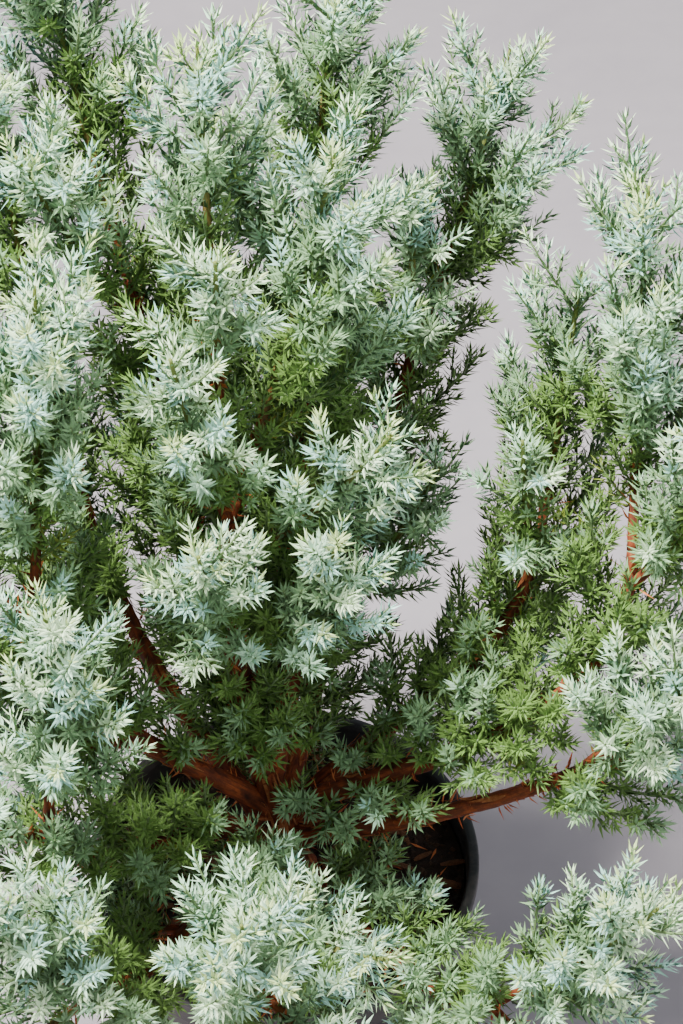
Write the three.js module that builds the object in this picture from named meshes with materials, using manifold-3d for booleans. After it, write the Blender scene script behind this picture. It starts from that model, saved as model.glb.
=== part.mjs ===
// Open needle juniper in a nursery pot: a short flared trunk, its boughs and their masses of foliage.
// Millimetres, +Z up, origin at the middle of the pot's underside. Azimuths are degrees from +X towards +Y.

import * as THREE from "three";
import { mergeVertices } from "three/addons/utils/BufferGeometryUtils.js";
import Module from "manifold-3d";

const wasm = await Module();
wasm.setup();

// Gap kept between pieces that touch on the real plant
const CLEAR = 0.3;

// Pot of about a litre and a half, with a stepped band under its lip and drain holes in its floor
const POT = {
  height: 124,
  footRadius: 52,
  bandFootRadius: 66.5,
  bandRadius: 69.5,
  lipRadius: 72,
  bandHeight: 19,
  bandSlope: 2,
  lipHeight: 5,
  wall: 2,
  floor: 3,
  footEdge: 3,
  facets: 28,
};
const BAND_FOOT = POT.height - POT.bandHeight;
const SHOULDER = BAND_FOOT - POT.bandSlope;
const DRAIN = { count: 5, circle: 38, radius: 4.5, facets: 6 };

// Compost fills the pot to a little below the rim and is heaped slightly round the trunk
const COMPOST = { edge: 112, top: 115, topRadius: 22 };

// Trunk from its flat cut on the compost to its tip, with a root flare
const TRUNK = {
  height: 54,
  flare: 12.5,
  flareFall: 7,
  foot: 7.6,
  tip: 4.6,
  lean: [-7, 5],
  sides: 8,
  steps: 7,
};

// from: height on the trunk where a bough parts from it. leave: azimuth and slope as it does. tip: azimuth,
// distance and height of its tip, from the trunk and above the compost. face: azimuth and slope of its tip.
// plume: length of the mass that carries it on. sides: how many masses may stand along it.
const BOUGHS = {
  leader: { from: 54, leave: [160, 80], tip: [119, 29, 170], face: [53, 58], plume: 124, sides: 4 },
  upper: { from: 50, leave: [120, 66], tip: [112, 54, 215], face: [96, 64], plume: 100, sides: 1 },
  back_left: { from: 38, leave: [128, 60], tip: [120, 103, 212], face: [116, 52], plume: 118, sides: 3 },
  back_middle: { from: 46, leave: [60, 62], tip: [84, 109, 208], face: [82, 58], plume: 104, sides: 1 },
  back_right: { from: 30, leave: [66, 46], tip: [68, 134, 156], face: [62, 44], plume: 108, sides: 3 },
  right_back: { from: 24, leave: [34, 46], tip: [24, 98, 138], face: [74, 58], plume: 96, sides: 2 },
  right: { from: 34, leave: [-8, 36], tip: [7, 119, 156], face: [88, 50], plume: 122, sides: 1 },
  right_front: { from: 20, leave: [-26, 34], tip: [-17, 112, 104], face: [-42, 58], plume: 80, sides: 1 },
  front_right: { from: 9, leave: [-54, 22], tip: [-48, 114, 42], face: [-20, 50], plume: 86, sides: 1 },
  front: { from: 17, leave: [-106, 34], tip: [-93, 106, 78], face: [-94, 62], plume: 90, sides: 2 },
  front_left: { from: 11, leave: [-126, 28], tip: [-123, 118, 68], face: [-128, 64], plume: 88, sides: 2 },
  left_front: { from: 26, leave: [-152, 38], tip: [-143, 94, 104], face: [60, 82], plume: 92, sides: 1 },
  left: { from: 33, leave: [-172, 50], tip: [-176, 80, 154], face: [60, 80], plume: 122, sides: 2 },
  left_back: { from: 19, leave: [152, 46], tip: [141, 100, 186], face: [112, 60], plume: 116, sides: 2 },
  back: { from: 13, leave: [94, 34], tip: [92, 126, 84], face: [90, 44], plume: 92, sides: 1 },
};
const LIMB = { root: 3.9, tip: 2, sides: 5, steps: 6, hold: 0.38, ease: 0.36 };

// Side masses: between which shares of a bough they part from it, their slope from it, the turns they
// may take about it, how steeply they may point down, and the room and length they need
const SIDE = {
  most: 4,
  first: 0.42,
  last: 0.93,
  slope: 46,
  turns: [0, 45, 90, 135, 180, 225, 270, 315],
  lowest: -0.1,
  lengthShare: 0.76,
  stemUp: 0.4,
  room: 15,
  shortest: 34,
};
const PLUME = { stemUp: 0.35, bare: 0.7 };

// Shoots of a mass: spacing on its stem, slope from it at its foot and tip, length as a share of the stem's,
// and how far they bow upwards. stand, apart, margin and girth: the room that each keeps round itself.
const SHOOT = {
  spacing: 10.5,
  first: 0.12,
  last: 0.88,
  golden: 137.5,
  low: 64,
  high: 38,
  share: 0.54,
  taper: 0.5,
  up: 0.3,
  wildTurn: 40,
  wildSlope: 14,
  wildLength: 0.3,
  nudges: [0, 70, -70, 140],
  cuts: [1, 0.85, 0.7, 0.6],
  shortest: 22,
  tested: [0.4, 0.6, 0.8, 1],
  stand: 0.35,
  apart: 13,
  margin: 13,
  girth: 7,
};

// Coarse needles of a shoot, in whorls of three on a slim core. Each stands for a bunch of the real ones.
// out and on: how far a needle's tip lies out from the shoot and on along it, as shares of its length
const SPRAY = {
  whorl: 20,
  plain: 30,
  bare: 6,
  stem: [2, 1.25],
  shoot: [1.25, 0.8],
  needle: 17,
  out: 0.6,
  on: 0.8,
  tip: 10,
};

const STEM_POINTS = 10;
const LIMB_POINTS = 16;
const SEED = 4021;
const UP = new THREE.Vector3(0, 0, 1);

const COLOURS = {
  pot: { color: "#1d1e20", roughness: 0.55, metalness: 0 },
  compost: { color: "#33241a", roughness: 0.95, metalness: 0 },
  bark: { color: "#7a3d22", roughness: 0.85, metalness: 0 },
  needles: { color: "#8aa396", roughness: 0.6, metalness: 0 },
};

const radians = THREE.MathUtils.degToRad;
const mix = THREE.MathUtils.lerp;

// Seeded draws from 0 to 1, the same in every run
function draws(seed) {
  let state = seed;
  return () => {
    state = (state + 0x6d2b79f5) | 0;
    let bits = Math.imul(state ^ (state >>> 15), 1 | state);
    bits = (bits + Math.imul(bits ^ (bits >>> 7), 61 | bits)) ^ bits;
    return ((bits ^ (bits >>> 14)) >>> 0) / 4294967296;
  };
}

function heading(azimuth, slope) {
  const flat = Math.cos(radians(slope));
  return new THREE.Vector3(
    flat * Math.cos(radians(azimuth)),
    flat * Math.sin(radians(azimuth)),
    Math.sin(radians(slope)),
  );
}

function along(start, direction, distance) {
  return start.clone().addScaledVector(direction, distance);
}

// Unit vector square to an axis, at a given turn about it
function square(axis, turn) {
  const reference = Math.abs(axis.z) > 0.99 ? new THREE.Vector3(1, 0, 0) : UP;
  const across = reference.clone().cross(axis).normalize();
  const beside = axis.clone().cross(across);
  return across.multiplyScalar(Math.cos(radians(turn))).addScaledVector(beside, Math.sin(radians(turn)));
}

// Curve that sets out along a direction and bows upwards over its second half
function bowed(start, direction, length, up) {
  const bend = along(start, direction, length / 2);
  const onward = direction.clone().multiplyScalar(1 - up).addScaledVector(UP, up).normalize();
  return new THREE.QuadraticBezierCurve3(start, bend, along(bend, onward, length / 2));
}

// Solids

function solidOf(geometry) {
  const bare = new THREE.BufferGeometry();
  bare.setAttribute("position", geometry.getAttribute("position"));
  bare.setIndex(geometry.index);
  const merged = mergeVertices(bare, 1e-4);
  return new wasm.Manifold(
    new wasm.Mesh({
      numProp: 3,
      vertProperties: new Float32Array(merged.getAttribute("position").array),
      triVerts: new Uint32Array(merged.index.array),
    }),
  );
}

// The largest body of a solid: what a cut leaves beyond it is a scrap
function largest(solid) {
  return solid.decompose().sort((a, b) => b.volume() - a.volume())[0];
}

function geometryOf(solid) {
  const mesh = solid.getMesh();
  const geometry = new THREE.BufferGeometry();
  geometry.setAttribute("position", new THREE.BufferAttribute(mesh.vertProperties, 3));
  geometry.setIndex(new THREE.BufferAttribute(mesh.triVerts, 1));
  geometry.computeVertexNormals();
  return geometry;
}

// A cylinder bent along a curve, with its radius given for each share of the way
function tube(curve, radiusAt, sides, steps) {
  const geometry = new THREE.CylinderGeometry(1, 1, 1, sides, steps);
  const frames = curve.computeFrenetFrames(steps, false);
  const place = geometry.getAttribute("position");
  for (let i = 0; i < place.count; i++) {
    const step = Math.round((place.getY(i) + 0.5) * steps);
    const radius = radiusAt(step / steps);
    const point = curve
      .getPointAt(step / steps)
      .addScaledVector(frames.normals[step], place.getZ(i) * radius)
      .addScaledVector(frames.binormals[step], place.getX(i) * radius);
    place.setXYZ(i, point.x, point.y, point.z);
  }
  return geometry;
}

function limbTube(curve, extra) {
  return tube(curve, (share) => mix(LIMB.root, LIMB.tip, share) + extra, LIMB.sides, LIMB.steps);
}

// Slim three-sided core, bare at its root, with needles in whorls of three on the faces that look forwards
function spray(curve, length, girths, bare) {
  const leafy = length - bare - SPRAY.tip;
  const plain = Math.max(1, Math.round(bare / SPRAY.plain));
  const whorls = Math.max(1, Math.round(leafy / SPRAY.whorl));
  const stations = [];
  for (let k = 0; k < plain; k++) stations.push((bare * k) / plain);
  for (let k = 0; k <= whorls; k++) stations.push(bare + (leafy * k) / whorls);

  const frames = curve.computeFrenetFrames(stations.length, false);
  const outward = (ring, angle) =>
    frames.normals[ring]
      .clone()
      .multiplyScalar(Math.cos(angle))
      .addScaledVector(frames.binormals[ring], Math.sin(angle));
  const angleOf = (ring, i) => (i * 2 * Math.PI) / 3 + (ring * Math.PI) / 3;
  const corners = stations.flatMap((station, ring) => {
    const centre = curve.getPointAt(station / length);
    const radius = mix(...girths, station / length);
    return [0, 1, 2].map((i) => along(centre, outward(ring, angleOf(ring, i)), radius));
  });

  const faces = [[2, 1, 0]];
  const last = corners.length - 3;
  for (let ring = 0; 3 * ring < last; ring++) {
    const isLeafy = ring >= plain;
    const station = (stations[ring] + stations[ring + 1]) / 2;
    for (let i = 0; i < 3; i++) {
      const [a, b] = [3 * ring + i, 3 * ring + ((i + 1) % 3)];
      const [c, d] = [a + 3, b + 3];
      faces.push([b, d, c]);
      if (isLeafy) {
        const foot = corners[a].clone().add(corners[b]).add(corners[c]).divideScalar(3);
        const tip = along(foot, outward(ring, angleOf(ring, i) + Math.PI / 3), SPRAY.needle * SPRAY.out);
        corners.push(tip.addScaledVector(curve.getTangentAt(station / length), SPRAY.needle * SPRAY.on));
        const t = corners.length - 1;
        faces.push([a, b, t], [b, c, t], [c, a, t]);
      } else {
        faces.push([a, b, c]);
      }
    }
  }
  corners.push(curve.getPointAt(1));
  const end = corners.length - 1;
  for (let i = 0; i < 3; i++) faces.push([last + i, last + ((i + 1) % 3), end]);

  return new THREE.BufferGeometry().setFromPoints(corners).setIndex(faces.flat());
}

// Skeleton: the limbs' and stems' curves, and the space of each mass

function trunkCurve() {
  const foot = new THREE.Vector3(0, 0, COMPOST.top + CLEAR);
  const tip = new THREE.Vector3(TRUNK.lean[0], TRUNK.lean[1], COMPOST.top + TRUNK.height);
  return new THREE.QuadraticBezierCurve3(foot, along(foot, UP, TRUNK.height / 2), tip);
}

function trunkRadius(share) {
  const flare = (TRUNK.flare - TRUNK.foot) * Math.exp((-share * TRUNK.height) / TRUNK.flareFall);
  return mix(TRUNK.foot, TRUNK.tip, share) + flare;
}

function boughCurve(bough, trunk) {
  const isLeader = bough.from >= TRUNK.height;
  const share = Math.min(1, bough.from / TRUNK.height);
  const start = isLeader ? along(trunk.getPoint(1), trunk.getTangent(1), CLEAR) : trunk.getPoint(share);
  const [azimuth, reach, rise] = bough.tip;
  const end = heading(azimuth, 0).multiplyScalar(reach);
  end.z = COMPOST.top + rise;
  const span = start.distanceTo(end);
  const first = isLeader ? trunk.getTangent(1) : heading(...bough.leave);
  return new THREE.CubicBezierCurve3(
    start,
    along(start, first, span * LIMB.hold),
    along(end, heading(...bough.face), -span * LIMB.ease),
    end,
  );
}

function nearest(point, points) {
  return Math.min(...points.map((p) => p.distanceTo(point)));
}

// Least distance from the outer part of a stem to what is already placed
function roomOf(curve, taken) {
  return Math.min(...SHOOT.tested.map((share) => nearest(curve.getPoint(share), taken)));
}

// Direction that leaves an axis at a slope from it, on the side given by a turn about it
function tilted(axis, slope, turn) {
  return axis
    .clone()
    .multiplyScalar(Math.cos(radians(slope)))
    .addScaledVector(square(axis, turn), Math.sin(radians(slope)));
}

function massAt(name, limb, curve, length) {
  return { name: `foliage_${name}`, limb, curve, length, points: curve.getPoints(STEM_POINTS) };
}

// The mass that carries a bough on from its tip
function plumeOf(bough, limb) {
  const way = limb.curve.getTangent(1);
  const foot = along(limb.curve.getPoint(1), way, CLEAR);
  return massAt(`${bough.name}_tip`, limb, bowed(foot, way, bough.plume, PLUME.stemUp), bough.plume);
}

// A mass beside a bough, turned to where it has most room and shortened until it has enough
function sideOf(bough, limb, share, name, taken) {
  const foot = limb.curve.getPoint(share);
  const axis = limb.curve.getTangent(share);
  const ways = SIDE.turns
    .map((turn) => tilted(axis, SIDE.slope, turn))
    .filter((way) => way.z > SIDE.lowest);
  const full = bough.plume * SIDE.lengthShare;
  const roomTo = (way, length) => roomOf(bowed(foot, way, length, SIDE.stemUp), taken);
  ways.sort((a, b) => roomTo(b, full) - roomTo(a, full));
  let length = full;
  while (length > SIDE.shortest && roomTo(ways[0], length) < SIDE.room) length *= 0.9;
  if (length <= SIDE.shortest) return null;
  return massAt(name, limb, bowed(foot, ways[0], length, SIDE.stemUp), length);
}

// True if a shoot stands off its own stem and the shoots kept so far, stays nearer to that stem than to
// any other mass's, and keeps clear of every limb
function keepsToSpace(curve, length, mass, kept, others, limbs) {
  if (nearest(curve.getPoint(1), mass.points) < SHOOT.stand * length) return false;
  return SHOOT.tested.every((share) => {
    const point = curve.getPoint(share);
    const own = nearest(point, mass.points);
    const isCramped = kept.some((shoot) => nearest(point, shoot.points) < SHOOT.apart);
    const isAstray = others.some((other) => nearest(point, other.points) < own + SHOOT.margin);
    const isOnLimb = limbs.some((limb) => nearest(point, limb.points) < LIMB.root + SHOOT.girth);
    return !(isCramped || isAstray || isOnLimb);
  });
}

// The shoots of a mass, set out by the golden angle. One with no room is turned, shortened or left out.
function shootsOf(mass, seed, masses, limbs) {
  const draw = draws(seed);
  const others = masses.filter((other) => other !== mass);
  const count = Math.round(mass.length / SHOOT.spacing);
  const kept = [];
  for (let k = 0; k < count; k++) {
    const share = mix(SHOOT.first, SHOOT.last, (k + 0.5) / count);
    const turn = SHOOT.golden * k + SHOOT.wildTurn * (draw() - 0.5);
    const slope = mix(SHOOT.low, SHOOT.high, share) + SHOOT.wildSlope * (draw() - 0.5);
    const wild = 1 + SHOOT.wildLength * (draw() - 0.5);
    const full = mass.length * SHOOT.share * (1 - SHOOT.taper * share) * wild;
    const start = mass.curve.getPoint(share);
    const axis = mass.curve.getTangent(share);
    search: for (const nudge of SHOOT.nudges) {
      const way = tilted(axis, slope, turn + nudge);
      for (const cut of SHOOT.cuts) {
        const length = full * cut;
        const curve = bowed(start, way, length, SHOOT.up);
        if (length < SHOOT.shortest) continue;
        if (!keepsToSpace(curve, length, mass, kept, others, limbs)) continue;
        kept.push({ curve, length, points: SHOOT.tested.map((at) => curve.getPoint(at)) });
        break search;
      }
    }
  }
  return kept;
}

// Parts

function potSolid() {
  const p = POT;
  const outer = [
    [0, 0],
    [p.footRadius - p.footEdge, 0],
    [p.footRadius, p.footEdge],
    [p.bandFootRadius, SHOULDER],
    [p.bandRadius, BAND_FOOT],
    [p.bandRadius, p.height - p.lipHeight],
    [p.lipRadius, p.height - p.lipHeight],
    [p.lipRadius, p.height],
  ];
  const inner = [
    [p.bandRadius - p.wall, p.height],
    [p.bandRadius - p.wall, BAND_FOOT + p.bandSlope / 2],
    [p.bandFootRadius - p.wall, SHOULDER],
    [p.footRadius - p.wall, p.floor],
    [0, p.floor],
  ];
  const profile = [...outer, ...inner].map(([r, z]) => new THREE.Vector2(r, z));
  const shell = new THREE.LatheGeometry(profile, p.facets).rotateX(Math.PI / 2);
  let pot = solidOf(shell);
  for (let k = 0; k < DRAIN.count; k++) {
    const at = heading((360 * (k + 0.5)) / DRAIN.count, 0).multiplyScalar(DRAIN.circle);
    const hole = new THREE.CylinderGeometry(DRAIN.radius, DRAIN.radius, 3 * p.floor, DRAIN.facets);
    pot = pot.subtract(solidOf(hole.rotateX(Math.PI / 2).translate(at.x, at.y, p.floor / 2)));
  }
  return pot;
}

function compostSolid() {
  const foot = POT.floor + CLEAR;
  const footRadius = mix(POT.footRadius, POT.bandFootRadius, foot / SHOULDER);
  const profile = [
    [0, foot],
    [footRadius - POT.wall - 2 * CLEAR, foot],
    [POT.bandFootRadius - POT.wall - 2 * CLEAR, SHOULDER],
    [POT.bandFootRadius - POT.wall, COMPOST.edge],
    [COMPOST.topRadius, COMPOST.top],
    [0, COMPOST.top],
  ].map(([r, z]) => new THREE.Vector2(r, z));
  return solidOf(new THREE.LatheGeometry(profile, POT.facets).rotateX(Math.PI / 2));
}

function foliageSolid(mass, shoots) {
  let solid = solidOf(spray(mass.curve, mass.length, SPRAY.stem, mass.length * PLUME.bare));
  for (const { curve, length } of shoots) {
    solid = solid.add(solidOf(spray(curve, length, SPRAY.shoot, SPRAY.bare)));
  }
  return largest(solid.subtract(mass.limb.grown));
}

// Assembly

function mesh(name, solid, look) {
  const made = new THREE.Mesh(geometryOf(solid), new THREE.MeshStandardMaterial(COLOURS[look]));
  made.name = name;
  return made;
}

const plant = new THREE.Group();
plant.add(mesh("pot", potSolid(), "pot"));
plant.add(mesh("compost", compostSolid(), "compost"));

const trunk = trunkCurve();
plant.add(mesh("trunk", solidOf(tube(trunk, trunkRadius, TRUNK.sides, TRUNK.steps)), "bark"));
const grown = [solidOf(tube(trunk, (share) => trunkRadius(share) + CLEAR, TRUNK.sides, TRUNK.steps))];

const boughs = Object.entries(BOUGHS).map(([name, sizes]) => ({ name, ...sizes }));
const limbs = boughs.map((bough) => {
  const curve = boughCurve(bough, trunk);
  return { name: bough.name, curve, points: curve.getPoints(LIMB_POINTS) };
});
for (const limb of limbs) {
  const solid = grown.reduce((cut, other) => cut.subtract(other), solidOf(limbTube(limb.curve, 0)));
  plant.add(mesh(`bough_${limb.name}`, largest(solid), "bark"));
  limb.grown = solidOf(limbTube(limb.curve, CLEAR));
  grown.push(limb.grown);
}

const masses = boughs.map((bough, i) => plumeOf(bough, limbs[i]));
for (let k = 0; k < SIDE.most; k++) {
  boughs.forEach((bough, i) => {
    if (k >= bough.sides) return;
    const share = mix(SIDE.last, SIDE.first, k / Math.max(1, bough.sides - 1));
    const taken = limbs
      .filter((limb) => limb !== limbs[i])
      .concat(masses)
      .flatMap((one) => one.points);
    const side = sideOf(bough, limbs[i], share, `${bough.name}_${k + 1}`, taken);
    if (side) masses.push(side);
  });
}
masses.forEach((mass, i) => {
  const solid = foliageSolid(mass, shootsOf(mass, SEED + i, masses, limbs));
  plant.add(mesh(mass.name, solid, "needles"));
});

export default plant;
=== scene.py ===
"""Potted needle juniper: its bark, twigs, needles, pot and compost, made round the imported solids.

The plant is worked out in millimetres, as its solids were, and every mesh is made in metres. +Z is up.
"""

import math
from dataclasses import dataclass
from itertools import product

import bmesh
import bpy
import numpy as np
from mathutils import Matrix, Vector, noise


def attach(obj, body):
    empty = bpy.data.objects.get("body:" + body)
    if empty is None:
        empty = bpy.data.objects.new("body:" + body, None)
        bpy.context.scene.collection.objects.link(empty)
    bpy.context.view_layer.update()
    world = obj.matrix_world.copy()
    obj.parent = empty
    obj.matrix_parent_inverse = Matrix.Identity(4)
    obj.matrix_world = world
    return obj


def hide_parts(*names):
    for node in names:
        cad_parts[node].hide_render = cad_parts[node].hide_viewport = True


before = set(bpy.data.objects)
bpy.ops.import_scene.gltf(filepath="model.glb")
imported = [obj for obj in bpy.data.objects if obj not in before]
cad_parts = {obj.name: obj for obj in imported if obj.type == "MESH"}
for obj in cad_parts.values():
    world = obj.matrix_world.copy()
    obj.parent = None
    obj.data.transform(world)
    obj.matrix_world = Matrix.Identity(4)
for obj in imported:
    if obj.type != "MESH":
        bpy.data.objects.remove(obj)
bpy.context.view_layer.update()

MM = 0.001
UP = np.array([0.0, 0.0, 1.0])
EAST = np.array([1.0, 0.0, 0.0])
GOLDEN = 137.5

# Sizes of the solids: pot, compost, trunk and limbs

POT_HEIGHT = 124
FOOT_RADIUS = 52
BAND_FOOT_RADIUS = 66.5
BAND_RADIUS = 69.5
LIP_RADIUS = 72
BAND_HEIGHT = 19
BAND_SLOPE = 2
LIP_HEIGHT = 5
WALL = 2
FLOOR = 3
DRAIN_COUNT = 5
DRAIN_CIRCLE = 38
DRAIN_RADIUS = 4.5

COMPOST_EDGE = 112
COMPOST_TOP = 115
COMPOST_TOP_RADIUS = 22
COMPOST_FOOT = 80
COMPOST_FOOT_RADIUS = 60
CLEAR = 0.3

TRUNK_HEIGHT = 54
TRUNK_FLARE = 12.5
TRUNK_FLARE_FALL = 7
TRUNK_FOOT = 7.6
TRUNK_TIP = 4.6
TRUNK_LEAN = (-7, 5)

LIMB_ROOT = 3.9
LIMB_TIP = 2
LIMB_HOLD = 0.38
LIMB_EASE = 0.36

# For each bough: the height on the trunk where it parts, its azimuth and slope there, the azimuth, distance
# and height of its tip, the azimuth and slope of that, the length of its tip's mass, and its side masses
BOUGHS = {
    "leader": (54, (160, 80), (119, 29, 170), (53, 58), 124, 4),
    "upper": (50, (120, 66), (112, 54, 215), (96, 64), 100, 1),
    "back_left": (38, (128, 60), (120, 103, 212), (116, 52), 118, 3),
    "back_middle": (46, (60, 62), (84, 109, 208), (82, 58), 104, 1),
    "back_right": (30, (66, 46), (68, 134, 156), (62, 44), 108, 3),
    "right_back": (24, (34, 46), (24, 98, 138), (74, 58), 96, 2),
    "right": (34, (-8, 36), (7, 119, 156), (88, 50), 122, 1),
    "right_front": (20, (-26, 34), (-17, 112, 104), (-42, 58), 80, 1),
    "front_right": (9, (-54, 22), (-48, 114, 42), (-20, 50), 86, 1),
    "front": (17, (-106, 34), (-93, 106, 78), (-94, 62), 90, 2),
    "front_left": (11, (-126, 28), (-123, 118, 68), (-128, 64), 88, 2),
    "left_front": (26, (-152, 38), (-143, 94, 104), (60, 82), 92, 1),
    "left": (33, (-172, 50), (-176, 80, 154), (60, 80), 122, 2),
    "left_back": (19, (152, 46), (141, 100, 186), (112, 60), 116, 2),
    "back": (13, (94, 34), (92, 126, 84), (90, 44), 92, 1),
}

# Side masses: shares of a bough between which they part, slope, turns tried, and the room they need
SIDE_MOST = 4
SIDE_SHARES = (0.93, 0.42)
SIDE_SLOPE = 46
SIDE_TURNS = range(0, 360, 45)
SIDE_LOWEST = -0.1
SIDE_LENGTH = 0.76
SIDE_UP = 0.4
SIDE_ROOM = 15
SIDE_SHORTEST = 34
SIDE_SHRINK = 0.9
PLUME_UP = 0.35

# Shoots of a mass, as the solids have them
SHOOT_SPACING = 10.5
SHOOT_SHARES = (0.12, 0.88)
SHOOT_SLOPES = (64, 38)
SHOOT_LENGTH = 0.54
SHOOT_TAPER = 0.5
SHOOT_UP = 0.3
WILD_TURN = 40
WILD_SLOPE = 14
WILD_LENGTH = 0.3
NUDGES = (0, 70, -70, 140)
CUTS = (1, 0.85, 0.7, 0.6)
SHORTEST = 22
TESTED = (0.4, 0.6, 0.8, 1)
STAND = 0.35
APART = 13
MARGIN = 13
GIRTH = 7

STEM_POINTS = 10
LIMB_POINTS = 16
SEED = 4021
TANGENT_STEP = 0.0001

# Finer growth that the solids leave out: shoots between theirs, twigs on every shoot, stem and bough, and
# spurs on the longer twigs. Each kind states how often it is tried, where, how long, and the room it needs.
FILL_SPACING = 1
FILL_LENGTHS = (0.7, 1.25)
FILL_SLOPES = (52, 30)
FILL_ROOM = 9
TWIG_SPACING = 2
TWIG_SHARES = (0.12, 0.9)
TWIG_SLOPES = (46, 32)
TWIG_LENGTHS = (15, 6)
TWIG_UP = 0.4
TWIG_ROOM = 3.85
STEM_TWIG_SPACING = 2.6
STEM_TWIG_SHARES = (0.1, 0.95)
STEM_TWIG_LENGTHS = (20, 10)
SPUR_FROM = 12
SPUR_LENGTH = 6.5
SPUR_SPACING = 3
SPUR_SHARES = (0.3, 0.8)
SPUR_ROOM = 3.4
BOUGH_SHOOT_SPACING = 1.2
BOUGH_SHOOT_SHARES = (0.06, 0.98)
BOUGH_SHOOT_LENGTHS = (27, 42)
BOUGH_SHOOT_ROOM = 7.4
BOUGH_SHOOT_AGE = 26
BOUGH_SHOOT_RISE = 8
BOUGH_TWIG_LENGTHS = (13, 8)
BOUGH_SLOPES = (66, 42)
# Boughs that are bare up to a share of their length, where the crown is open
BARE_BOUGHS = {"right_front": 0.78}
FINE_WILD = 0.5
CELL = 9

# How far slopes stray, the room that growth keeps from limbs and over the compost, the length of a shoot
# with full twigs, and how much of the distance behind a tip counts as age
SLOPE_STRAY = 9
LIMB_ROOM = 2
OTHER_LIMB_ROOM = 3
GROUND_ROOM = 8
LONG_SHOOT = 50
FILL_DEPTH = 0.25
SHOOT_AGEING = 0.15
BOUGH_SHOOT_AGES = (-12, 18)

# Girths at foot and tip, and the share of a mass's stem that is bare
STEM_GIRTHS = (1.9, 0.6)
STEM_BARE = 0.12
BOUGH_SHOOT_GIRTHS = (0.9, 0.4)
SHOOT_GIRTHS = (0.7, 0.32)
FILL_GIRTHS = (0.7, 0.35)
TWIG_GIRTHS = (0.5, 0.32)
SPUR_GIRTHS = (0.4, 0.3)

# Growth under the crown's skin is greener and darker, partly as older growth and partly as painted shade
# from the growth over it: how far up and out the cover over a shoot counts, how wide, how many tips are
# full cover, and how much older and darker that makes its colour
COVER_FROM = 8
COVER_TO = 80
COVER_WIDTH = 14
COVER_LEAN = 0.7
COVER_FULL = 44
COVER_AGE_AND_SHADE = 40
COVER_CORE = 40

# Needles: awl-shaped, in whorls of three that close up towards the tip of a shoot
NEEDLE_LENGTH = 6.1
NEEDLE_HALF_WIDTH = 0.63
WHORL_GAP = 2.45
TIP_GAP = 1.6
TIP_REACH = 4
SPREAD = 57
TIP_SPREAD = 22
SPREAD_REACH = 4
TURN_STRAY = 14
SPREAD_STRAY = 8
NEEDLE_SIZES = (0.84, 1.1)
TIP_SHORTER = 0.4
TIP_SHORTER_REACH = 2.2
DRY_LENGTH = 7

# Ages past which needles grow shorter and past which they drop, over what span, and how much of them at most
SHORTER_AGE = 60
SHORTER_SPAN = 60
OLD_SHORTER = 0.25
DROP_AGE = 68
DROP_SPAN = 90
DROP_MOST = 0.7

# Bark: sides round each limb, lengths of its rings, and depths of its furrows as shares of its radius
TRUNK_SIDES = 56
TRUNK_RINGS = 70
BOUGH_SIDES = 18
BOUGH_RING = 1.8
STEM_SIDES = 7
STEM_RING = 2.4
FURROW = 0.3
BOUGH_FURROW = 0.34

# Radii of a mass's stem, the collar where a bough leaves the trunk, and the lifted flakes of bark
STEM_RADII = (2, 0.6)
COLLAR = 1.6
COLLAR_FALL = 0.05
TRUNK_FLAKES = 60
BOUGH_FLAKES = 26
FLAKE_THICKNESS = 0.16

# What lies on the compost
CRUMBS = 1800
CHIPS = 150
FALLEN_NEEDLES = 150

# The photo's frame: the camera looks along +Y and down, and so much of the focal plane fills its height
FRAME_HEIGHT = 338
CAMERA_DISTANCE = 850
CAMERA_TARGET = (21, 17, 287)
CAMERA_DOWN = 45
SENSOR = 36


def mix(low, high, share):
    return low + (high - low) * share


def unit(vectors):
    return vectors / np.linalg.norm(vectors, axis=-1, keepdims=True)


def heading(azimuth, slope):
    """Unit vector at an azimuth from +X towards +Y and a slope above level, in degrees."""
    azimuth, slope = math.radians(azimuth), math.radians(slope)
    flat = math.cos(slope)
    return np.array([flat * math.cos(azimuth), flat * math.sin(azimuth), math.sin(slope)])


def square(axis, turn):
    """Unit vectors square to axes, at given turns about them in degrees."""
    reference = np.where(np.abs(axis[..., 2:]) > 0.99, EAST, UP)
    across = unit(np.cross(reference, axis))
    beside = np.cross(axis, across)
    turn = np.radians(turn)[..., None]
    return across * np.cos(turn) + beside * np.sin(turn)


def tilted(axis, slope, turn):
    """Directions that leave axes at a slope from them, on the sides given by turns about them."""
    slope = np.radians(slope)[..., None]
    return axis * np.cos(slope) + square(axis, turn) * np.sin(slope)


class Curve:
    """Bezier curve with three or four control points, followed by its share from 0 to 1."""

    def __init__(self, *controls):
        self.controls = [np.array(point, float) for point in controls]

    def at(self, share):
        share = np.asarray(share, float)[..., None]
        points = self.controls
        while len(points) > 1:
            points = [a * (1 - share) + b * share for a, b in zip(points, points[1:])]
        return points[0]

    def way(self, share):
        share = np.asarray(share, float)
        ahead = self.at(np.minimum(1, share + TANGENT_STEP))
        return unit(ahead - self.at(np.maximum(0, share - TANGENT_STEP)))

    def stops(self, count):
        return self.at(np.linspace(0, 1, count + 1))

    def length(self):
        return np.linalg.norm(np.diff(self.stops(STEM_POINTS), axis=0), axis=1).sum()


def bowed(start, direction, length, up):
    """Curve that sets out along a direction and bows upwards over its second half."""
    bend = start + direction * length / 2
    onward = unit(direction * (1 - up) + UP * up)
    return Curve(start, bend, bend + onward * length / 2)


# Skeleton, by the same rule as the solids


@dataclass
class Limb:
    name: str
    curve: Curve
    points: np.ndarray


@dataclass
class Mass:
    name: str
    limb: Limb
    curve: Curve
    length: float
    points: np.ndarray


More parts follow.
